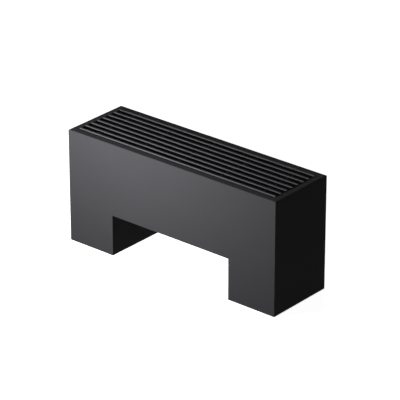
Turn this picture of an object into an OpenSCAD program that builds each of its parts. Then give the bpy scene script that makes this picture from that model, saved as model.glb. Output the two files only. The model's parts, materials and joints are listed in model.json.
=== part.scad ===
// Floor-standing convector: a sheet-steel casing on two box legs, a finned water coil on floor stands
// inside it, and a linear grille that lifts off the top. Air rises through the arch between the legs.
// Millimetres. The origin is on the floor under the middle; X runs along the length, the front is at -Y.

/* [Casing] */
// Overall length
casing_l = 600; // [520:10:1200]
// Overall depth, front to back
casing_d = 180; // [176:1:210]
// Overall height, floor to the tops of the grille bars
casing_h = 280; // [272:1:400]
// Width of each leg along the length
leg_w = 130; // [126:1:160]
// Height of the legs, floor to the underside of the body
leg_h = 100; // [92:1:108]
// Thickness of the casing sheet
sheet_t = 1.5; // [1:0.1:2]
// Inside radius of the folds in the sheet
fold_r = 0.5; // [0.3:0.1:1]
// Width of the flanges that join one panel to the next
flange_w = 12; // [8:1:16]
// Rise of the leg inner panels above the underside of the body
leg_inner_rise = 12; // [8:1:14]

/* [Rim] */
// Width of the rim along the front and the back
rim_w = 19; // [16:0.5:24]
// Width of the rim across each end
rim_end_w = 16; // [12:0.5:22]
// Depth of the lip that the front and back rims turn down into the opening
lip_h = 12; // [8:0.5:13]
// Width of the ledge under each end of the grille
ledge_w = 14; // [10:1:18]

/* [Grille] */
// Number of bars
bar_count = 8; // [7:1:8]
// Width of a bar's head
bar_w = 4.4; // [3.6:0.1:5.5]
// Thickness of a bar's head
bar_head_t = 2.2; // [2:0.1:3.4]
// Height that the heads stand above the rim
bar_proud = 2; // [1:0.1:2.5]
// Thickness of the web under the head
bar_web_t = 2; // [1.5:0.1:3]
// Height of the web under the head
bar_web_h = 12.8; // [10:0.1:13.8]
// Gap between the grille and the rim, all round
grille_clear = 0.6; // [0.4:0.1:1.2]
// Number of cross rods that string the bars together
rod_count = 5; // [4:1:5]
// Diameter of a cross rod
rod_d = 4; // [3:0.5:5]
// Distance of the outer rods from the ends of the bars
rod_inset = 43; // [30:1:50]
// Outside diameter of the spacer sleeves on the rods
spacer_d = 8; // [7:0.5:9.5]
// Thickness of the rubber strips that the grille rests on
pad_t = 1.5; // [1:0.1:2]

/* [Coil] */
// Height of the air inlet under the fins, as a share of the body's height
inlet_share = 0.16; // [0.14:0.01:0.18]
// Height of the fins, as a share of the body's height
fin_share = 0.45; // [0.42:0.01:0.46]
// Gap between the fins and the front and back panels
fin_side_gap = 8.5; // [8:0.5:12]
// Outside diameter of the copper tube
tube_d = 15; // [12:0.5:16]
// Wall of the copper tube
tube_wall = 0.8; // [0.6:0.1:1.2]
// Length that the fins reach past the arch at each end
fin_overhang = 10; // [4:1:12]
// Distance from fin to fin
fin_pitch = 9; // [6:0.5:12]
// Thickness of a fin
fin_t = 0.6; // [0.4:0.1:0.8]
// Thickness of the collar round each tube hole
collar_t = 0.7; // [0.5:0.1:1]
// Thickness of the coil's end plates
plate_t = 2; // [1.5:0.1:2.5]
// Width of the shelf on top of each end plate
plate_shelf_w = 22; // [21:0.5:23]
// Height of the cross braces that stand on those shelves and carry the grille
brace_h = 27.5; // [22:0.5:30]

/* [Floor stands] */
// Thickness of the stand's steel
stand_t = 3; // [2.5:0.1:4]
// Distance of the stand from the front and back faces of the casing
stand_margin = 18; // [15:1:20]
// Depth of the stiffening flanges along the stand's column
stand_flange_w = 15; // [10:1:17]
// Gap between the foot and the end panel
foot_gap = 8.5; // [5:0.5:12]
// Diameter of the floor anchor holes
anchor_d = 9; // [7:0.5:11]
// Distance of the anchor holes from the front and back edges of the foot
anchor_margin = 12; // [9:1:14]

/* [Pipework] */
// Depth of the pipe sockets' mouths under the body
socket_drop = 40; // [36:1:46]
// Core diameter of the pipe sockets' thread
socket_core_d = 18.6; // [16:0.1:19]
// Depth of the pipe sockets' thread
socket_thread_l = 16; // [12:1:18]
// Width across the flats of a socket and its lock nut
socket_flats = 30; // [28:0.5:31]
// Distance of the drop pipes from the outer end of the foot
drop_margin = 40; // [36:1:42]
// Radius of the elbows that turn the pipes down
elbow_r = 24; // [22:1:28]
// Thickness of the shelf that holds the sockets
shelf_t = 2; // [1.5:0.1:3]

/* [Air vent] */
// Thread diameter of the bleed screw
bleed_d = 5; // [4:0.5:6]
// Width across the flats of the vent body
vent_flats = 14; // [13:0.5:16]

/* [Hidden] */
$fn = 48;

// Overrun of every cut, and the clearances of pieces that pass through one another
over = 1;
braze_gap = 0.05;
running_gap = 0.05;
pass_gap = 0.1;
screw_gap = 0.25;

casing_colour = [0.17, 0.175, 0.185];
coil_colour = [0.05, 0.05, 0.055];
zinc_colour = [0.62, 0.64, 0.66];
copper_colour = [0.72, 0.43, 0.29];
brass_colour = [0.78, 0.64, 0.33];
rubber_colour = [0.07, 0.07, 0.07];

// Casing
half_l = casing_l / 2;
half_d = casing_d / 2;
body_h = casing_h - leg_h;
inner_d = casing_d - 2 * sheet_t;
arch_w = casing_l - 2 * leg_w;
fold_out_r = fold_r + sheet_t;
flange_end_gap = 4;
rim_z = casing_h - bar_proud;
opening_l = casing_l - 2 * rim_end_w;
opening_d = casing_d - 2 * rim_w;
leg_panel_h = leg_h + leg_inner_rise;

// Grille
grille_l = opening_l - 2 * grille_clear;
grille_d = opening_d - 2 * grille_clear;
bar_pitch = (grille_d - bar_w) / (bar_count - 1);
web_z = casing_h - bar_head_t - bar_web_h;
rod_z = web_z + bar_web_h / 2;
rod_span = grille_l - 2 * rod_inset;
rod_pitch = rod_span / (rod_count - 1);
rivet_d_share = 1.6;
rivet_t_share = 0.25;
edge_share = 0.1;
rivet_d = rivet_d_share * rod_d;
rivet_t = rivet_t_share * rod_d;
head_edge_r = edge_share * bar_w;
ledge_z = web_z - pad_t - sheet_t;
ledge_end_gap = 0.3;
pad_margin = 1;

// Coil
tube_cols = 4;
tube_rows = 2;
tube_r = tube_d / 2;
tube_bore_r = tube_r - tube_wall;
fin_d = inner_d - 2 * fin_side_gap;
fin_h = fin_share * body_h;
fin_z = leg_h + inlet_share * body_h;
tube_pitch_y = fin_d / tube_cols;
tube_pitch_z = fin_h / tube_rows;
pack_l = arch_w + 2 * fin_overhang;
fin_count = floor((pack_l - fin_t) / fin_pitch) + 1;
fin_step = (pack_l - fin_t) / (fin_count - 1);
plate_gap = 6;
plate_margin = 2;
plate_x = pack_l / 2 + plate_gap;
plate_out_x = plate_x + plate_t;
plate_d = fin_d + 2 * plate_margin;
plate_z = leg_panel_h;
plate_top = web_z - pad_t - brace_h;
bush_wall = 1.5;
bush_flange_w = 3.5;
bush_flange_t = 1;
tube_stub = 4;
tube_end_x = plate_out_x + tube_stub;

// Air baffles
baffle_rise = 18;
baffle_lap = 4;

// Floor stands
column_x = plate_out_x;
column_out_x = column_x + stand_t;
bush_clear = 3;
column_top = tube_z(0) - tube_r - bush_flange_w - bush_clear;
stand_d = casing_d - 2 * stand_margin;
foot_end_x = half_l - sheet_t - foot_gap;
foot_hole_margin = 18;
foot_hole_in = 24;
anchor_in_x = column_x + foot_hole_in;
anchor_out_x = foot_end_x - foot_hole_margin;
anchor_y = stand_d / 2 - anchor_margin;
pipe_slot_l = 56;
pipe_slot_margin = 24;
pipe_slot_d = stand_d - 2 * pipe_slot_margin;

// Cross braces
brace_w = plate_shelf_w - plate_t;
brace_lip = 5;
brace_z = plate_top;
brace_top = plate_top + brace_h;

// Fasteners
screw_d = 5;
screw_l = 10;
screw_head_d = 9;
screw_head_h = 3;
nut_flats = 8;
nut_h = 4;
socket_screw_share = 0.35;
plate_screw_y = tube_pitch_y;
plate_screw_z = (plate_z + column_top) / 2;
casing_screw_y = tube_y(tube_cols - 1);

// Pipework
socket_z = leg_h - socket_drop;
drop_x = foot_end_x - drop_margin;
supply_run = drop_x - elbow_r - tube_end_x;
elbow_z = tube_z(1) - elbow_r;
socket_hex_h = 18;
socket_neck_d = 22;
socket_neck_h = 18;
socket_step = 4;
socket_way_d = 12;
socket_top = socket_z + socket_hex_h + socket_neck_h;
pipe_end_z = socket_z + socket_hex_h + socket_step;
lock_nut_h = 6;
shelf_margin = 24;
shelf_side_margin = 22;
shelf_d = tube_pitch_y + 2 * shelf_side_margin;
shelf_rise = 24;

// Air vent
vent_from_elbow = 7;
vent_x = drop_x - elbow_r - vent_from_elbow;
vent_base_d = 14;
vent_base_h = 5.5;
vent_hex_h = 8;
vent_spigot_d = 10;
vent_spigot_h = 8;
vent_way_d = 3;
vent_hex_z = tube_z(1) + tube_r + vent_base_h;
vent_top = vent_hex_z + vent_hex_h + vent_spigot_h;
bleed_seat_gap = 0.3;
bleed_l = 12;
bleed_head_d = 8;
bleed_head_h = 3;
bleed_slot_w = 1.2;
bleed_slot_h = 1.5;

// A tube is [column, row]: the columns from the front, the rows from the bottom
function supply_tube() = [1, 1];
function return_tube() = [2, 1];
// The pairs of tubes that the return bends join, on the left and on the right
function left_bends() = [[[0, 1], [1, 1]], [[0, 0], [1, 0]], [[2, 0], [3, 0]], [[2, 1], [3, 1]]];
function right_bends() = [[[0, 0], [0, 1]], [[1, 0], [2, 0]], [[3, 0], [3, 1]]];

function bar_y(i) = -grille_d / 2 + bar_w / 2 + (i - 1) * bar_pitch;
function rod_x(i) = -rod_span / 2 + (i - 1) * rod_pitch;
function tube_y(col) = (col - (tube_cols - 1) / 2) * tube_pitch_y;
function tube_z(row) = fin_z + (row + 1 / 2) * tube_pitch_z;
function hex_r(flats) = flats / 2 / cos(30);
function past(a, b) = b + (b - a) * over / norm(b - a);

// Sheet-metal sections: x is the distance in from the outer face, y is the height

// A quarter turn of bent sheet about the origin, in the quadrant +x +y
module bend(t, r) {
  intersection() {
    difference() {
      circle(r + t);
      circle(r);
    }
    square(r + t);
  }
}

// An angle of bent sheet: one arm up from the origin, the other along +x at the bottom
module angle_section(rise, reach, t) {
  translate([fold_r + t, fold_r + t]) rotate(180) bend(t, fold_r);
  if (rise > fold_r + t)
    translate([0, fold_r + t]) square([t, rise - fold_r - t]);
  translate([fold_r + t, 0]) square([reach - fold_r - t, t]);
}

// A panel's upright face with its rim
module panel_section(rim, bottom_z) {
  square([sheet_t, rim_z - fold_out_r]);
  rim_section(rim, bottom_z, 0);
}

// The fold over the top edge of a panel, the rim and the lip, which may end in a ledge
module rim_section(rim, bottom_z, ledge) {
  translate([fold_out_r, rim_z - fold_out_r]) rotate(90) bend(sheet_t, fold_r);
  translate([fold_out_r, rim_z - sheet_t]) square([rim - 2 * fold_out_r, sheet_t]);
  translate([rim - fold_out_r, rim_z - fold_out_r]) bend(sheet_t, fold_r);
  if (ledge > 0) {
    translate([rim - sheet_t, bottom_z + fold_out_r]) {
      square([sheet_t, rim_z - bottom_z - 2 * fold_out_r]);
      translate([fold_out_r, 0]) rotate(180) bend(sheet_t, fold_r);
      translate([fold_out_r, -fold_out_r]) square([ledge + sheet_t - fold_out_r, sheet_t]);
    }
  } else {
    translate([rim - sheet_t, bottom_z]) square([sheet_t, rim_z - bottom_z - fold_out_r]);
  }
}

// A section swept along X, with its x as +Y and its y as +Z
module along_x(length) {
  translate([-length / 2, 0, 0]) rotate([90, 0, 90]) linear_extrude(length) children();
}

// A section swept along Y, with its x as +X and its y as +Z
module along_y(length) {
  rotate([90, 0, 0]) linear_extrude(length, center = true) children();
}

// What the mitre takes off at the right front corner: the end's share or the front's share
module mitre_cut(front) {
  inner = [opening_l / 2, -opening_d / 2];
  outer = [half_l, -half_d];
  far = past(inner, outer);
  near = front ? past(outer, inner) : inner;
  translate([0, 0, ledge_z - over]) linear_extrude(rim_z - ledge_z + 2 * over)
    polygon(front ? [near, far, [far.x, near.y]] : [near, far, [near.x, far.y]]);
}

// A front or back panel: a bridge-shaped face whose top turns in as rim and lip, and whose arch
// has a stiffening lip along its upper edge
module long_panel() {
  color(casing_colour) {
    difference() {
      translate([0, -half_d, 0]) along_x(casing_l) square([sheet_t, rim_z - fold_out_r]);
      arch_cut();
    }
    difference() {
      translate([0, -half_d, 0]) along_x(casing_l) panel_section(rim_w, rim_z - lip_h);
      mitre_cut(true);
      mirror([1, 0, 0]) mitre_cut(true);
      arch_cut();
    }
    translate([0, -half_d, leg_h]) along_x(arch_w) angle_section(2 * fold_out_r, flange_w, sheet_t);
  }
}

module arch_cut() {
  translate([-arch_w / 2, -half_d - over, -over])
    cube([arch_w, sheet_t + 2 * over, leg_h + fold_out_r + over]);
}

module front_panel() {
  long_panel();
}

module back_panel() {
  mirror([0, 1, 0]) long_panel();
}

// An end panel: a plain face whose top turns in as rim, lip and the ledge under the grille, with
// an upright joining flange behind the front panel and the back panel
module right_end_panel() {
  color(casing_colour) {
    difference() {
      translate([half_l, 0, 0]) mirror([1, 0, 0]) {
        along_y(inner_d) panel_section(rim_end_w, ledge_z);
        along_y(casing_d) rim_section(rim_end_w, ledge_z, 0);
        along_y(opening_d - 2 * ledge_end_gap) rim_section(rim_end_w, ledge_z, ledge_w);
      }
      mitre_cut(false);
      mirror([0, 1, 0]) mitre_cut(false);
    }
    for (side = [0, 1]) mirror([0, side, 0])
      translate([half_l - sheet_t - flange_w, -inner_d / 2, flange_end_gap])
        cube([flange_w + sheet_t / 2, sheet_t, ledge_z - 2 * flange_end_gap]);
  }
}

module left_end_panel() {
  mirror([1, 0, 0]) right_end_panel();
}

// The wall of a leg that faces the arch: its top turns out to the floor stand and closes the leg
// off from the air inlet, and upright flanges join it to the front and back panels
module right_leg_inner_panel() {
  color(casing_colour) {
    translate([arch_w / 2, 0, leg_panel_h]) mirror([0, 0, 1]) along_y(inner_d)
      angle_section(leg_panel_h, column_x - arch_w / 2, sheet_t);
    for (side = [0, 1]) mirror([0, side, 0])
      translate([(arch_w + sheet_t) / 2, -inner_d / 2, flange_end_gap])
        cube([flange_w + sheet_t / 2, sheet_t, leg_h - 2 * flange_end_gap]);
  }
}

module left_leg_inner_panel() {
  mirror([1, 0, 0]) right_leg_inner_panel();
}

// A floor stand: a channel column folded out into a foot, drilled for floor anchors, with a wide
// slot for the pipes
module right_floor_stand() {
  color(zinc_colour) difference() {
    union() {
      translate([column_x, 0, 0]) along_y(stand_d)
        angle_section(column_top, foot_end_x - column_x, stand_t);
      for (side = [0, 1]) mirror([0, side, 0])
        translate([column_x + stand_t / 2, -stand_d / 2, stand_t / 2])
          cube([stand_flange_w + stand_t / 2, stand_t, column_top - stand_t / 2]);
    }
    for (x = [anchor_in_x, anchor_out_x], y = [-anchor_y, anchor_y])
      translate([x, y, -over]) cylinder(h = stand_t + 2 * over, d = anchor_d);
    translate([drop_x - pipe_slot_l / 2, -pipe_slot_d / 2, -over])
      cube([pipe_slot_l, pipe_slot_d, stand_t + 2 * over]);
    plate_screw_holes();
    socket_screw_holes();
  }
}

module left_floor_stand() {
  mirror([1, 0, 0]) right_floor_stand();
}

module x_hole(d) {
  rotate([0, 90, 0]) translate([0, 0, -screw_l]) cylinder(h = 2 * screw_l, d = d);
}

module plate_screw_holes() {
  for (y = [-plate_screw_y, plate_screw_y])
    translate([column_x, y, plate_screw_z]) x_hole(screw_d + 2 * screw_gap);
}

module socket_screw_holes() {
  for (y = [-1, 1])
    translate([column_out_x, y * socket_screw_share * shelf_d, bracket_screw_z()])
      x_hole(screw_d + 2 * screw_gap);
}

function bracket_screw_z() = socket_z + socket_hex_h + shelf_t + (shelf_rise - shelf_t) / 2;

module casing_screw_holes() {
  for (y = [-casing_screw_y, casing_screw_y])
    translate([brace_mid_x(), y, brace_z - screw_l])
      cylinder(h = 2 * screw_l, d = screw_d + 2 * screw_gap);
}

function brace_mid_x() = plate_out_x + brace_w / 2;

// An end plate of the coil: drilled for the tube bushes, its top folded out as a shelf for the
// cross brace
module right_coil_plate() {
  color(zinc_colour) difference() {
    translate([plate_x, 0, plate_top]) mirror([0, 0, 1]) along_y(plate_d)
      angle_section(plate_top - plate_z, plate_shelf_w, plate_t);
    for (col = [0 : tube_cols - 1], row = [0 : tube_rows - 1])
      translate([plate_x - over, tube_y(col), tube_z(row)]) rotate([0, 90, 0])
        cylinder(h = plate_t + 2 * over, r = tube_r + bush_wall + 2 * braze_gap);
    plate_screw_holes();
    casing_screw_holes();
  }
}

module left_coil_plate() {
  mirror([1, 0, 0]) right_coil_plate();
}

// Flanged plastic bushes that let the tubes slide in the end plates as they warm up
module tube_bushes() {
  color(rubber_colour)
    for (side = [0, 1], col = [0 : tube_cols - 1], row = [0 : tube_rows - 1])
      mirror([side, 0, 0]) translate([plate_x, tube_y(col), tube_z(row)]) rotate([0, 90, 0])
        difference() {
          union() {
            cylinder(h = plate_t, r = tube_r + bush_wall + braze_gap);
            translate([0, 0, plate_t]) cylinder(h = bush_flange_t, r = tube_r + bush_flange_w);
          }
          translate([0, 0, -over])
            cylinder(h = plate_t + bush_flange_t + 2 * over, r = tube_r + braze_gap);
        }
}

// Aluminium fins strung on collars that reach from fin to fin along every tube
module fin_pack() {
  color(coil_colour) difference() {
    union() {
      for (i = [0 : fin_count - 1])
        translate([-pack_l / 2 + i * fin_step, -fin_d / 2, fin_z]) cube([fin_t, fin_d, fin_h]);
      at_tubes() cylinder(h = pack_l, r = tube_r + braze_gap + collar_t, center = true);
    }
    at_tubes() cylinder(h = pack_l + 2 * over, r = tube_r + braze_gap, center = true);
  }
}

module at_tubes() {
  for (col = [0 : tube_cols - 1], row = [0 : tube_rows - 1])
    translate([0, tube_y(col), tube_z(row)]) rotate([0, 90, 0]) children();
}

// Coil tubes are numbered along the bottom row from the front, then along the top row
module coil_tube(i) {
  col = (i - 1) % tube_cols;
  row = floor((i - 1) / tube_cols);
  color(copper_colour) translate([0, tube_y(col), tube_z(row)]) rotate([0, 90, 0]) difference() {
    cylinder(h = 2 * tube_end_x, r = tube_r, center = true);
    cylinder(h = 2 * tube_end_x + 2 * over, r = tube_bore_r, center = true);
  }
}

module tube_ring() {
  difference() {
    circle(tube_r);
    circle(tube_bore_r);
  }
}

// A U-bend at the right end of the coil that joins two neighbouring tubes
module return_bend(pair) {
  a = [tube_y(pair[0][0]), tube_z(pair[0][1])];
  b = [tube_y(pair[1][0]), tube_z(pair[1][1])];
  turn = pair[0][0] == pair[1][0] ? 90 : 0;
  color(copper_colour) translate([tube_end_x, (a.x + b.x) / 2, (a.y + b.y) / 2]) rotate([turn, 0, 0])
    rotate([0, 0, -90]) rotate_extrude(angle = 180) translate([norm(b - a) / 2, 0]) tube_ring();
}

module left_return_bend(i) {
  mirror([1, 0, 0]) return_bend(left_bends()[i - 1]);
}

module right_return_bend(i) {
  return_bend(right_bends()[i - 1]);
}

// A pipe from a coil tube: out past the end plate, through an elbow and down into its socket
module drop_pipe(tube) {
  translate([0, tube_y(tube[0]), 0]) {
    translate([tube_end_x, 0, tube_z(tube[1])]) rotate([0, 90, 0]) linear_extrude(supply_run) tube_ring();
    translate([drop_x - elbow_r, 0, elbow_z]) rotate([90, 0, 0])
      rotate_extrude(angle = 90) translate([elbow_r, 0]) tube_ring();
    translate([drop_x, 0, pipe_end_z]) linear_extrude(elbow_z - pipe_end_z) tube_ring();
  }
}

module supply_pipe() {
  color(copper_colour) drop_pipe(supply_tube());
}

module return_pipe() {
  color(copper_colour) difference() {
    drop_pipe(return_tube());
    translate([vent_x, tube_y(return_tube()[0]), tube_z(return_tube()[1])])
      cylinder(h = tube_r + over, d = vent_way_d);
  }
}

// A brass pipe socket: a hexagon with the thread open at the floor side, and a neck that passes
// up through the bracket and takes the copper pipe on a step
module pipe_socket(tube) {
  color(brass_colour) translate([drop_x, tube_y(tube[0]), socket_z]) difference() {
    union() {
      cylinder(h = socket_hex_h, r = hex_r(socket_flats), $fn = 6);
      translate([0, 0, socket_hex_h]) cylinder(h = socket_neck_h, d = socket_neck_d);
    }
    translate([0, 0, -over]) cylinder(h = socket_thread_l + over, d = socket_core_d);
    cylinder(h = socket_top - socket_z, d = socket_way_d);
    translate([0, 0, pipe_end_z - socket_z])
      cylinder(h = socket_top - pipe_end_z + over, r = tube_r + braze_gap);
  }
}

module supply_socket() {
  pipe_socket(supply_tube());
}

module return_socket() {
  pipe_socket(return_tube());
}

// The lock nuts that clamp the sockets to their bracket from above
module socket_lock_nuts() {
  color(brass_colour) for (tube = [supply_tube(), return_tube()])
    translate([drop_x, tube_y(tube[0]), socket_z + socket_hex_h + shelf_t]) difference() {
      cylinder(h = lock_nut_h, r = hex_r(socket_flats), $fn = 6);
      translate([0, 0, -over]) cylinder(h = lock_nut_h + 2 * over, d = socket_neck_d + 2 * pass_gap);
    }
}

// The angle bracket across the leg that holds both sockets
module socket_bracket() {
  color(zinc_colour) difference() {
    translate([column_out_x, 0, socket_z + socket_hex_h]) along_y(shelf_d)
      angle_section(shelf_rise, drop_x - column_out_x + shelf_margin, shelf_t);
    for (tube = [supply_tube(), return_tube()])
      translate([drop_x, tube_y(tube[0]), socket_z + socket_hex_h - over])
        cylinder(h = shelf_t + 2 * over, d = socket_neck_d + 2 * pass_gap);
    socket_screw_holes();
  }
}

// The air vent on the return pipe: a saddle base, a hexagon and a spigot bored for the bleed screw
module vent_body() {
  y = tube_y(return_tube()[0]);
  color(brass_colour) difference() {
    translate([vent_x, y, tube_z(1)]) {
      cylinder(h = tube_r + vent_base_h, d = vent_base_d);
      translate([0, 0, tube_r + vent_base_h]) cylinder(h = vent_hex_h, r = hex_r(vent_flats), $fn = 6);
      translate([0, 0, tube_r + vent_base_h + vent_hex_h]) cylinder(h = vent_spigot_h, d = vent_spigot_d);
    }
    translate([vent_x, y, tube_z(1)]) rotate([0, 90, 0])
      cylinder(h = vent_base_d + over, r = tube_r + braze_gap, center = true);
    translate([vent_x, y, tube_z(1)]) cylinder(h = vent_top - tube_z(1) - over, d = vent_way_d);
    translate([vent_x, y, vent_top - bleed_l - over])
      cylinder(h = bleed_l + 2 * over, r = bleed_d / 2 + running_gap);
  }
}

// The bleed screw: a cheese head with a screwdriver slot
module bleed_screw() {
  color(zinc_colour) translate([vent_x, tube_y(return_tube()[0]), vent_top + bleed_seat_gap]) difference() {
    union() {
      translate([0, 0, -bleed_l]) cylinder(h = bleed_l, d = bleed_d);
      cylinder(h = bleed_head_h, d = bleed_head_d);
    }
    translate([-bleed_head_d, -bleed_slot_w / 2, bleed_head_h - bleed_slot_h])
      cube([2 * bleed_head_d, bleed_slot_w, bleed_slot_h + over]);
  }
}

// An angle along a long panel that closes the gap beside the fins, so that all air passes them
module front_air_baffle() {
  color(zinc_colour) translate([0, -inner_d / 2, fin_z - sheet_t]) along_x(2 * plate_x)
    angle_section(baffle_rise, (inner_d - fin_d) / 2 + baffle_lap, sheet_t);
}

module back_air_baffle() {
  mirror([0, 1, 0]) front_air_baffle();
}

// A lipped channel from the front panel to the back panel: it stands on the coil's end plate,
// ties the casing to the stand and carries the grille
module right_cross_brace() {
  color(zinc_colour) difference() {
    translate([brace_mid_x(), 0, 0]) along_y(inner_d) {
      brace_half_section();
      mirror([1, 0]) brace_half_section();
    }
    casing_screw_holes();
  }
}

module brace_half_section() {
  half_w = brace_w / 2;
  translate([0, brace_z]) square([half_w - fold_out_r, sheet_t]);
  translate([half_w - fold_out_r, brace_z + fold_out_r]) rotate(-90) bend(sheet_t, fold_r);
  translate([half_w - sheet_t, brace_z + fold_out_r])
    square([sheet_t, brace_top - brace_z - 2 * fold_out_r]);
  translate([half_w - fold_out_r, brace_top - fold_out_r]) bend(sheet_t, fold_r);
  translate([half_w - brace_lip, brace_top - sheet_t]) square([brace_lip - fold_out_r, sheet_t]);
}

module left_cross_brace() {
  mirror([1, 0, 0]) right_cross_brace();
}

// A cheese-head screw pointing along -Z, its head seated at the origin
module screw() {
  translate([0, 0, -screw_l]) cylinder(h = screw_l, d = screw_d);
  cylinder(h = screw_head_h, d = screw_head_d);
}

// A nut below the origin
module nut() {
  translate([0, 0, -nut_h]) difference() {
    cylinder(h = nut_h, r = hex_r(nut_flats), $fn = 6);
    translate([0, 0, -over]) cylinder(h = nut_h + 2 * over, d = screw_d + 2 * pass_gap);
  }
}

// The screws that hold the braces, and with them the casing, down on the coil's end plates
module casing_screws() {
  color(zinc_colour) for (side = [0, 1], y = [-casing_screw_y, casing_screw_y])
    mirror([side, 0, 0]) translate([brace_mid_x(), y, brace_z + sheet_t]) screw();
}

// The screws that join the end plates and the socket bracket to the stands
module frame_screws() {
  color(zinc_colour) {
    for (side = [0, 1], y = [-plate_screw_y, plate_screw_y]) mirror([side, 0, 0])
      translate([column_out_x, y, plate_screw_z]) rotate([0, 90, 0]) screw();
    for (y = [-1, 1])
      translate([column_out_x + shelf_t, y * socket_screw_share * shelf_d, bracket_screw_z()])
        rotate([0, 90, 0]) screw();
  }
}

// The nut behind every screw
module frame_nuts() {
  color(zinc_colour) {
    for (side = [0, 1], y = [-plate_screw_y, plate_screw_y]) mirror([side, 0, 0])
      translate([plate_x, y, plate_screw_z]) rotate([0, 90, 0]) nut();
    for (y = [-1, 1])
      translate([column_x, y * socket_screw_share * shelf_d, bracket_screw_z()]) rotate([0, 90, 0]) nut();
    for (side = [0, 1], y = [-casing_screw_y, casing_screw_y])
      mirror([side, 0, 0]) translate([brace_mid_x(), y, brace_z - plate_t]) nut();
  }
}

// A grille bar: an extruded T with eased upper edges, its web drilled for the cross rods
module grille_bar(i) {
  color(casing_colour) difference() {
    translate([0, bar_y(i), web_z]) along_x(grille_l) {
      translate([-bar_web_t / 2, 0]) square([bar_web_t, bar_web_h]);
      translate([-bar_w / 2, bar_web_h]) square([bar_w, bar_head_t - head_edge_r]);
      translate([-bar_w / 2 + head_edge_r, bar_web_h]) square([bar_w - 2 * head_edge_r, bar_head_t]);
      for (side = [-1, 1])
        translate([side * (bar_w / 2 - head_edge_r), bar_web_h + bar_head_t - head_edge_r])
          circle(head_edge_r);
    }
    for (k = [1 : rod_count]) translate([rod_x(k), bar_y(i), rod_z]) rotate([90, 0, 0])
      cylinder(h = bar_web_t + 2 * over, d = rod_d + 2 * pass_gap, center = true);
  }
}

// A cross rod, riveted over against the webs of the outer bars
module grille_rod(i) {
  reach = bar_y(bar_count) + bar_web_t / 2;
  color(zinc_colour) translate([rod_x(i), 0, rod_z]) rotate([90, 0, 0]) {
    cylinder(h = 2 * reach, d = rod_d, center = true);
    for (side = [0, 1]) mirror([0, 0, side])
      translate([0, 0, reach]) cylinder(h = rivet_t, d = rivet_d);
  }
}

// The sleeves on the rods that keep the bars apart
module grille_spacers() {
  color(casing_colour) for (k = [1 : rod_count], i = [1 : bar_count - 1])
    translate([rod_x(k), bar_y(i) + bar_pitch / 2, rod_z]) rotate([90, 0, 0]) difference() {
      cylinder(h = bar_pitch - bar_web_t, d = spacer_d, center = true);
      cylinder(h = bar_pitch, d = rod_d + 2 * pass_gap, center = true);
    }
}

// Rubber strips on the end ledges and on the lips of the cross braces
module grille_pads() {
  pad_d = grille_d - 2 * pad_margin;
  ledge_pad_w = ledge_w + sheet_t - fold_out_r - 2 * pad_margin;
  brace_pad_w = brace_lip - fold_out_r;
  color(rubber_colour) for (side = [0, 1]) mirror([side, 0, 0]) {
    translate([opening_l / 2 - ledge_w + pad_margin, -pad_d / 2, web_z - pad_t])
      cube([ledge_pad_w, pad_d, pad_t]);
    for (arm = [0, 1]) translate([brace_mid_x(), 0, 0]) mirror([arm, 0, 0])
      translate([brace_w / 2 - brace_lip, -pad_d / 2, web_z - pad_t])
        cube([brace_pad_w, pad_d, pad_t]);
  }
}

front_panel();
back_panel();
left_end_panel();
right_end_panel();
left_leg_inner_panel();
right_leg_inner_panel();
left_floor_stand();
right_floor_stand();
left_cross_brace();
right_cross_brace();
left_coil_plate();
right_coil_plate();
fin_pack();
tube_bushes();
for (i = [1 : tube_cols * tube_rows])
  coil_tube(i);
for (i = [1 : len(left_bends())])
  left_return_bend(i);
for (i = [1 : len(right_bends())])
  right_return_bend(i);
supply_pipe();
return_pipe();
supply_socket();
return_socket();
socket_lock_nuts();
socket_bracket();
vent_body();
bleed_screw();
front_air_baffle();
back_air_baffle();
casing_screws();
frame_screws();
frame_nuts();
for (i = [1 : bar_count])
  grille_bar(i);
for (i = [1 : rod_count])
  grille_rod(i);
grille_spacers();
grille_pads();
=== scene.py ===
"""Floor-standing convector: finishes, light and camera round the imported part.

Metres and the part's own frame: +X to the leg with the pipes, -Y to the front, +Z up.
"""

import json
import math
import random

import bmesh
import bpy
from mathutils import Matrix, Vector


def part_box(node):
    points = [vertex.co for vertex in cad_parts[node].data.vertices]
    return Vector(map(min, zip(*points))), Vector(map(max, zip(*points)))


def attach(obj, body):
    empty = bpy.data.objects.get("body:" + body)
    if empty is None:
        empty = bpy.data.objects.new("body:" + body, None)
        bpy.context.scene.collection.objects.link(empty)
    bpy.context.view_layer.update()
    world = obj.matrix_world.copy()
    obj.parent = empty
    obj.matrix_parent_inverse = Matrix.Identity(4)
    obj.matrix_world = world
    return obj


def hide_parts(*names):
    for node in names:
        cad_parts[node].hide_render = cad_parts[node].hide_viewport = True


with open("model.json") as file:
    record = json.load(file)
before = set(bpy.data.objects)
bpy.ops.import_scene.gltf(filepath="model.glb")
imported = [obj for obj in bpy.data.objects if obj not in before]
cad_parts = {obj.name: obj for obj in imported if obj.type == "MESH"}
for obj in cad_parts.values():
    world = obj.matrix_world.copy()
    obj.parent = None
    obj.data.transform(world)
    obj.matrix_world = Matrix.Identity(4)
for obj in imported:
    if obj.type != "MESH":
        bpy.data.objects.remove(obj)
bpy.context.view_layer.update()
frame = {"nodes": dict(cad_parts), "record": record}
nodes = frame["nodes"]
MM = 0.001

# Camera: a long lens from the front right, above the grille
CAMERA_AZIMUTH = math.radians(40)
CAMERA_ELEVATION = math.radians(25.3)
CAMERA_DISTANCE = 6.05
CAMERA_TARGET = Vector((0.0137, 0.0, 0.1636))
CAMERA_LENS = 243
CAMERA_REACH = 100


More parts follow.
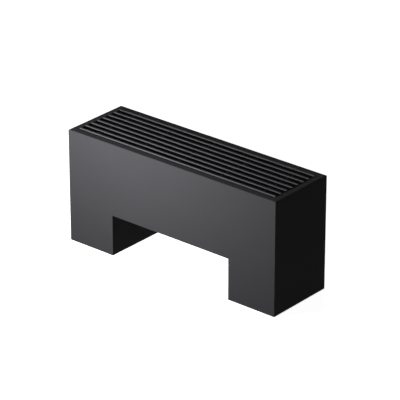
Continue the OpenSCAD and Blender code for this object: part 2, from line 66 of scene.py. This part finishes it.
def add_camera():
    back = Vector((
        math.sin(CAMERA_AZIMUTH) * math.cos(CAMERA_ELEVATION),
        -math.cos(CAMERA_AZIMUTH) * math.cos(CAMERA_ELEVATION),
        math.sin(CAMERA_ELEVATION),
    ))
    data = bpy.data.cameras.new("camera")
    data.lens = CAMERA_LENS
    data.clip_end = CAMERA_REACH
    camera = bpy.data.objects.new("camera", data)
    camera.location = CAMERA_TARGET + back * CAMERA_DISTANCE
    camera.rotation_euler = (-back).to_track_quat("-Z", "Y").to_euler()
    bpy.context.scene.collection.objects.link(camera)
    bpy.context.scene.camera = camera


# The key light stands before the left half, a little above the casing, and aims over it, so that the front
# face fades downwards and to the right. It is narrow, so that little of it reaches the left leg's inner wall.
# The fills stand far off, level with the middle of the casing.
KEY_PLACE = (-0.165, -0.7, 0.37)
KEY_AIM = (-0.2, -0.09, 0.8)
KEY_SIZE = (0.02, 0.1)
KEY_WATTS = 7.2
FRONT_FILL_PLACE = (0, -4, 0.14)
FRONT_FILL_WATTS = 25
BACK_FILL_PLACE = (-2.5, 3.5, 0.14)
BACK_FILL_WATTS = 100
FILL_AIM = (0, 0, 0.14)
FILL_SIZE = (1, 0.3)


def add_area_light(name, place, aim, size, watts):
    data = bpy.data.lights.new(name, "AREA")
    data.shape = "RECTANGLE"
    data.size, data.size_y = size
    data.energy = watts
    lamp = bpy.data.objects.new(name, data)
    lamp.location = place
    lamp.rotation_euler = (Vector(aim) - Vector(place)).to_track_quat("-Z", "Y").to_euler()
    bpy.context.scene.collection.objects.link(lamp)


def add_lights():
    add_area_light("key light", KEY_PLACE, KEY_AIM, KEY_SIZE, KEY_WATTS)
    add_area_light("front fill", FRONT_FILL_PLACE, FILL_AIM, FILL_SIZE, FRONT_FILL_WATTS)
    add_area_light("back fill", BACK_FILL_PLACE, FILL_AIM, FILL_SIZE, BACK_FILL_WATTS)


# The light that the world gives the object, and the share of the floor's white that its shadow can take
WORLD_LIGHT = 0.042
SHADOW_SHARE = 0.12
FLOOR_COLOUR = 0.08
FLOOR_SIZE = 40
FLOOR_DROP = 0.2 * MM

# How open the floor has to be to the sky, within that reach, to start showing white, and to be all white;
# less open floor gets painted shade
SKY_REACH = 0.5
CLOSED_SKY = 0.05
OPEN_SKY = 0.18


def seen_background(tree):
    """1 for the rays that show the background: from the camera, a reflection or a transmission."""
    path = tree.nodes.new("ShaderNodeLightPath")
    seen = path.outputs["Is Camera Ray"]
    for kind in ("Is Glossy Ray", "Is Transmission Ray"):
        either = tree.nodes.new("ShaderNodeMath")
        either.operation = "MAXIMUM"
        tree.links.new(seen, either.inputs[0])
        tree.links.new(path.outputs[kind], either.inputs[1])
        seen = either.outputs[0]
    return seen


def by_background(tree, hidden, shown):
    """hidden for the light on the object, shown for the rays that see the background."""
    node = tree.nodes.new("ShaderNodeMapRange")
    node.inputs["To Min"].default_value = hidden
    node.inputs["To Max"].default_value = shown
    tree.links.new(seen_background(tree), node.inputs["Value"])
    return node.outputs["Result"]


def make_world():
    world = bpy.data.worlds.new("white studio")
    bpy.context.scene.world = world
    world.use_nodes = True
    tree = world.node_tree
    background = tree.nodes["Background"]
    background.inputs["Color"].default_value = (1, 1, 1, 1)
    tree.links.new(by_background(tree, WORLD_LIGHT, 1), background.inputs["Strength"])


def floor_white_with_painted_shade(tree):
    """The white that the floor shows, gone where the object shuts it in: painted shade, taken from the
    ambient occlusion.
    """
    # Painted shade: ambient occlusion takes the floor's white away where the object shuts the floor in
    sky = tree.nodes.new("ShaderNodeAmbientOcclusion")
    sky.inputs["Distance"].default_value = SKY_REACH
    openness = tree.nodes.new("ShaderNodeMapRange")
    openness.inputs["From Min"].default_value = CLOSED_SKY
    openness.inputs["From Max"].default_value = OPEN_SKY
    tree.links.new(sky.outputs["AO"], openness.inputs["Value"])
    strength = tree.nodes.new("ShaderNodeMath")
    strength.operation = "MULTIPLY"
    tree.links.new(openness.outputs["Result"], strength.inputs[0])
    tree.links.new(by_background(tree, 0, 1 - SHADOW_SHARE), strength.inputs[1])
    return strength.outputs[0]


def add_floor():
    """A grey floor for the light; rays that show it see white, less the shadow and the painted shade where
    the object shuts it in, and from below nothing.
    """
    bpy.ops.mesh.primitive_plane_add(size=FLOOR_SIZE, location=(0, 0, -FLOOR_DROP))
    floor = bpy.context.object
    floor.name = "floor"
    material = bpy.data.materials.new("floor")
    material.use_nodes = True
    tree = material.node_tree
    tree.nodes.clear()
    output = tree.nodes.new("ShaderNodeOutputMaterial")
    above = tree.nodes.new("ShaderNodeAddShader")
    shade = tree.nodes.new("ShaderNodeBsdfDiffuse")
    white = tree.nodes.new("ShaderNodeEmission")
    tree.links.new(by_background(tree, FLOOR_COLOUR, SHADOW_SHARE / WORLD_LIGHT), shade.inputs["Color"])
    tree.links.new(floor_white_with_painted_shade(tree), white.inputs["Strength"])
    tree.links.new(shade.outputs[0], above.inputs[0])
    tree.links.new(white.outputs[0], above.inputs[1])
    sides = tree.nodes.new("ShaderNodeMixShader")
    face = tree.nodes.new("ShaderNodeNewGeometry")
    clear = tree.nodes.new("ShaderNodeBsdfTransparent")
    tree.links.new(face.outputs["Backfacing"], sides.inputs["Fac"])
    tree.links.new(above.outputs[0], sides.inputs[1])
    tree.links.new(clear.outputs[0], sides.inputs[2])
    tree.links.new(sides.outputs[0], output.inputs["Surface"])
    floor.data.materials.append(material)


# Building blocks of the materials. Textures are laid out in the part's own metres, and most of a noise lies
# between these two values.
NOISE_LOW = 0.3
NOISE_HIGH = 0.7


class Finish:
    """A Principled material with its coordinates, and short calls for what varies over the surface."""

    def __init__(self, name, colour, metallic=0.0, roughness=0.5, specular=0.5):
        self.material = bpy.data.materials.new(name)
        self.material.use_nodes = True
        self.tree = self.material.node_tree
        self.shader = self.tree.nodes["Principled BSDF"]
        self.colour = colour
        self.shader.inputs["Base Color"].default_value = (*colour, 1)
        self.shader.inputs["Metallic"].default_value = metallic
        self.shader.inputs["Roughness"].default_value = roughness
        self.shader.inputs["Specular IOR Level"].default_value = specular
        self.place = self.tree.nodes.new("ShaderNodeTexCoord").outputs["Object"]

    def link(self, output, socket):
        self.tree.links.new(output, self.shader.inputs[socket])

    def stretched(self, scale):
        """The coordinates, drawn out along some axes."""
        mapping = self.tree.nodes.new("ShaderNodeMapping")
        mapping.inputs["Scale"].default_value = scale
        self.tree.links.new(self.place, mapping.inputs["Vector"])
        return mapping.outputs["Vector"]

    def noise(self, size, detail=2.0, place=None):
        """Noise from 0 to 1, with features of about that size."""
        node = self.tree.nodes.new("ShaderNodeTexNoise")
        node.inputs["Scale"].default_value = 1 / size
        node.inputs["Detail"].default_value = detail
        self.tree.links.new(place or self.place, node.inputs["Vector"])
        return node.outputs["Fac"]

    def cells(self, size):
        """A random grey for each cell of about that size."""
        node = self.tree.nodes.new("ShaderNodeTexVoronoi")
        node.inputs["Scale"].default_value = 1 / size
        self.tree.links.new(self.place, node.inputs["Vector"])
        grey = self.tree.nodes.new("ShaderNodeRGBToBW")
        self.tree.links.new(node.outputs["Color"], grey.inputs["Color"])
        return grey.outputs["Val"]

    def shades(self, *factors):
        """The finish's colour, made darker or lighter by each factor."""
        return [tuple(c * factor for c in self.colour) for factor in factors]

    def colour_by(self, value, between, colours):
        """The base colour goes with value: two colours, and between which two values it changes."""
        ramp = self.tree.nodes.new("ShaderNodeValToRGB")
        for element, position, colour in zip(ramp.color_ramp.elements, between, colours):
            element.position = position
            element.color = (*colour, 1)
        self.tree.links.new(value, ramp.inputs["Fac"])
        self.link(ramp.outputs["Color"], "Base Color")

    def roughness_by(self, noise, low, high):
        """The roughness goes with a noise, from low to high."""
        node = self.tree.nodes.new("ShaderNodeMapRange")
        node.inputs["From Min"].default_value = NOISE_LOW
        node.inputs["From Max"].default_value = NOISE_HIGH
        node.inputs["To Min"].default_value = low
        node.inputs["To Max"].default_value = high
        self.tree.links.new(noise, node.inputs["Value"])
        self.link(node.outputs["Result"], "Roughness")

    def bumps(self, *layers):
        """Stacked bumps, each (height, depth in metres)."""
        normal = None
        for height, depth in layers:
            bump = self.tree.nodes.new("ShaderNodeBump")
            bump.inputs["Strength"].default_value = 1
            bump.inputs["Distance"].default_value = depth
            self.tree.links.new(height, bump.inputs["Height"])
            if normal:
                self.tree.links.new(normal, bump.inputs["Normal"])
            normal = bump.outputs["Normal"]
        self.link(normal, "Normal")


# The record's base colours are the starting point of each finish
BASE = {m["slot"]: tuple(m["base_color"]) for m in frame["record"]["materials"]}

# What the paint keeps of its base colour's red, green and blue: in the photograph it is a little less blue
PAINT_SHARES = (1.015, 0.975, 0.97)


def powder_coat(slot, specular, roughness, painted_highlight_tone=1.0):
    """Matt anthracite powder coat: fine grain over a faint orange peel, with a slow drift in its shade."""
    # A tone above 1 lightens the whole paint: a painted highlight
    grey = [c * share * painted_highlight_tone for c, share in zip(BASE[slot], PAINT_SHARES)]
    f = Finish(slot, grey, roughness=roughness, specular=specular)
    f.colour_by(f.noise(60 * MM), between=(0.3, 0.7), colours=f.shades(0.985, 1.015))
    f.roughness_by(f.noise(1.2 * MM, detail=3), low=roughness - 0.06, high=roughness + 0.06)
    f.bumps((f.noise(3 * MM), 0.03 * MM), (f.noise(0.6 * MM, detail=3), 0.02 * MM))
    return f.material


def galvanised(slot):
    """Zinc-coated steel with its faint spangle and a few rolled streaks."""
    f = Finish(slot, BASE[slot], metallic=0.9, roughness=0.42)
    f.colour_by(f.cells(6 * MM), between=(0.1, 0.9), colours=f.shades(0.8, 1.1))
    f.roughness_by(f.noise(9 * MM, detail=4), low=0.34, high=0.52)
    streaks = f.noise(0.8 * MM, detail=3, place=f.stretched((0.1, 1, 1)))
    f.bumps((streaks, 0.01 * MM))
    return f.material


def dipped_fins(slot):
    """Matt black dip coat on aluminium, thinner and greyer in places."""
    f = Finish(slot, BASE[slot], roughness=0.6, specular=0.3)
    f.colour_by(f.noise(12 * MM, detail=4), between=(0.35, 0.75), colours=f.shades(0.8, 1.5))
    f.roughness_by(f.noise(4 * MM, detail=3), low=0.5, high=0.75)
    f.bumps((f.noise(2 * MM, detail=3), 0.05 * MM))
    return f.material


# What tarnish leaves of the copper's red, green and blue
TARNISH_SHARES = (0.55, 0.5, 0.5)


def drawn_copper(slot):
    """Drawn copper tube: die lines along it and brown tarnish in patches."""
    f = Finish(slot, BASE[slot], metallic=1, roughness=0.3)
    tarnish = tuple(c * share for c, share in zip(f.colour, TARNISH_SHARES))
    f.colour_by(f.noise(14 * MM, detail=5), between=(0.35, 0.6), colours=(tarnish, f.colour))
    f.roughness_by(f.noise(10 * MM, detail=4), low=0.22, high=0.45)
    die_lines = f.noise(0.7 * MM, place=f.stretched((0.08, 1, 0.4)))
    f.bumps((die_lines, 0.015 * MM))
    return f.material


def turned_brass(slot):
    """Turned brass: fine rings round the axis of the tool and a light handling stain."""
    f = Finish(slot, BASE[slot], metallic=1, roughness=0.28)
    f.colour_by(f.noise(7 * MM, detail=4), between=(0.3, 0.65), colours=f.shades(0.72, 1.05))
    f.roughness_by(f.noise(5 * MM, detail=3), low=0.2, high=0.38)
    rings = f.noise(0.35 * MM, detail=1, place=f.stretched((0.05, 0.05, 1)))
    f.bumps((rings, 0.012 * MM))
    return f.material


def moulded(slot, roughness, grain):
    """Moulded plastic or rubber with a fine grain and a little dust in patches."""
    f = Finish(slot, BASE[slot], roughness=roughness, specular=0.35)
    f.colour_by(f.noise(8 * MM, detail=4), between=(0.3, 0.75), colours=f.shades(0.85, 1.35))
    f.roughness_by(f.noise(3 * MM, detail=3), low=roughness - 0.1, high=roughness + 0.08)
    f.bumps((f.noise(grain, detail=3), 0.03 * MM))
    return f.material


# The coil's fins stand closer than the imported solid's, on the same tubes and in the same box
FIN_STEP = 3 * MM
FIN_T = 0.25 * MM
FIN_EDGE_PLAY = 0.18 * MM
COLLAR_L = 2.6 * MM
COLLAR_GAP = 0.05 * MM
HOLE_SIDES = 12
FIN_SEED = 7


def tube_holes():
    """For each straight tube, the centre of its hole in Y and Z and the radius to the hole's corners."""
    holes = []
    for name in sorted(nodes):
        if name.startswith("coil_tube_"):
            low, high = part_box(name)
            flat_radius = (high[1] - low[1]) / 2 + COLLAR_GAP
            radius = flat_radius / math.cos(math.pi / HOLE_SIDES)
            holes.append(((low[1] + high[1]) / 2, (low[2] + high[2]) / 2, radius))
    return holes


def add_fin(mesh, x, holes, half_y, half_z, chance):
    """A fin in one sheet: a slightly uneven plate with a collar drawn out of it round each tube."""
    plate = {}

    def plate_corner(y, z):
        key = (round(y, 5), round(z, 5))
        if key not in plate:
            play = chance.uniform(-FIN_EDGE_PLAY, FIN_EDGE_PLAY)
            plate[key] = mesh.verts.new((x + play, y, z))
        return plate[key]

    for y, z, radius in holes:
        edge, ring, mouth = [], [], []
        for side in range(HOLE_SIDES):
            angle = 2 * math.pi * (side + 0.5) / HOLE_SIDES
            c, s = math.cos(angle), math.sin(angle)
            far = max(abs(c), abs(s))
            edge.append(plate_corner(y + half_y * c / far, z + half_z * s / far))
            ring.append(mesh.verts.new((x, y + radius * c, z + radius * s)))
            mouth.append(mesh.verts.new((x + COLLAR_L, y + radius * c, z + radius * s)))
        for side in range(HOLE_SIDES):
            after = (side + 1) % HOLE_SIDES
            mesh.faces.new((edge[side], edge[after], ring[after], ring[side]))
            mesh.faces.new((ring[side], ring[after], mouth[after], mouth[side]))


def add_fins(finish):
    low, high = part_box("fin_pack")
    holes = tube_holes()
    columns = len({round(y, 5) for y, z, radius in holes})
    half_y = (high[1] - low[1]) / columns / 2
    half_z = (high[2] - low[2]) / (len(holes) // columns) / 2
    first, last = low[0] + FIN_EDGE_PLAY, high[0] - COLLAR_L
    gaps = round((last - first) / FIN_STEP)
    chance = random.Random(FIN_SEED)
    mesh = bmesh.new()
    for i in range(gaps + 1):
        add_fin(mesh, first + (last - first) * i / gaps, holes, half_y, half_z, chance)
    data = bpy.data.meshes.new("coil_fins")
    mesh.to_mesh(data)
    mesh.free()
    data.materials.append(finish)
    fins = bpy.data.objects.new("coil_fins", data)
    bpy.context.scene.collection.objects.link(fins)
    thickness = fins.modifiers.new("thickness", "SOLIDIFY")
    thickness.thickness = FIN_T
    thickness.offset = 1
    thickness.use_even_offset = True
    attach(fins, "casing")
    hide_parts("fin_pack")


def finish_nodes():
    finishes = {
        "casing_paint": powder_coat("casing_paint", specular=0.02, roughness=0.6),
        # The grille's paint is made twice as light as its base colour: a painted highlight standing in for
        # the light that the bars' edges catch
        "grille_paint": powder_coat("grille_paint", specular=0.004, roughness=0.6, painted_highlight_tone=2.0),
        "zinc_steel": galvanised("zinc_steel"),
        "coil_black": dipped_fins("coil_black"),
        "copper": drawn_copper("copper"),
        "brass": turned_brass("brass"),
        "bush_plastic": moulded("bush_plastic", roughness=0.5, grain=1 * MM),
        "pad_rubber": moulded("pad_rubber", roughness=0.75, grain=0.5 * MM),
    }
    slots = {part["node"]: part["material_slot"] for part in frame["record"]["subparts"]}
    for name, node in nodes.items():
        node.data.materials.clear()
        node.data.materials.append(finishes[slots[name]])
    return finishes


bpy.context.scene.view_settings.view_transform = "Standard"
add_camera()
make_world()
add_floor()
add_lights()
finishes = finish_nodes()
add_fins(finishes["coil_black"])
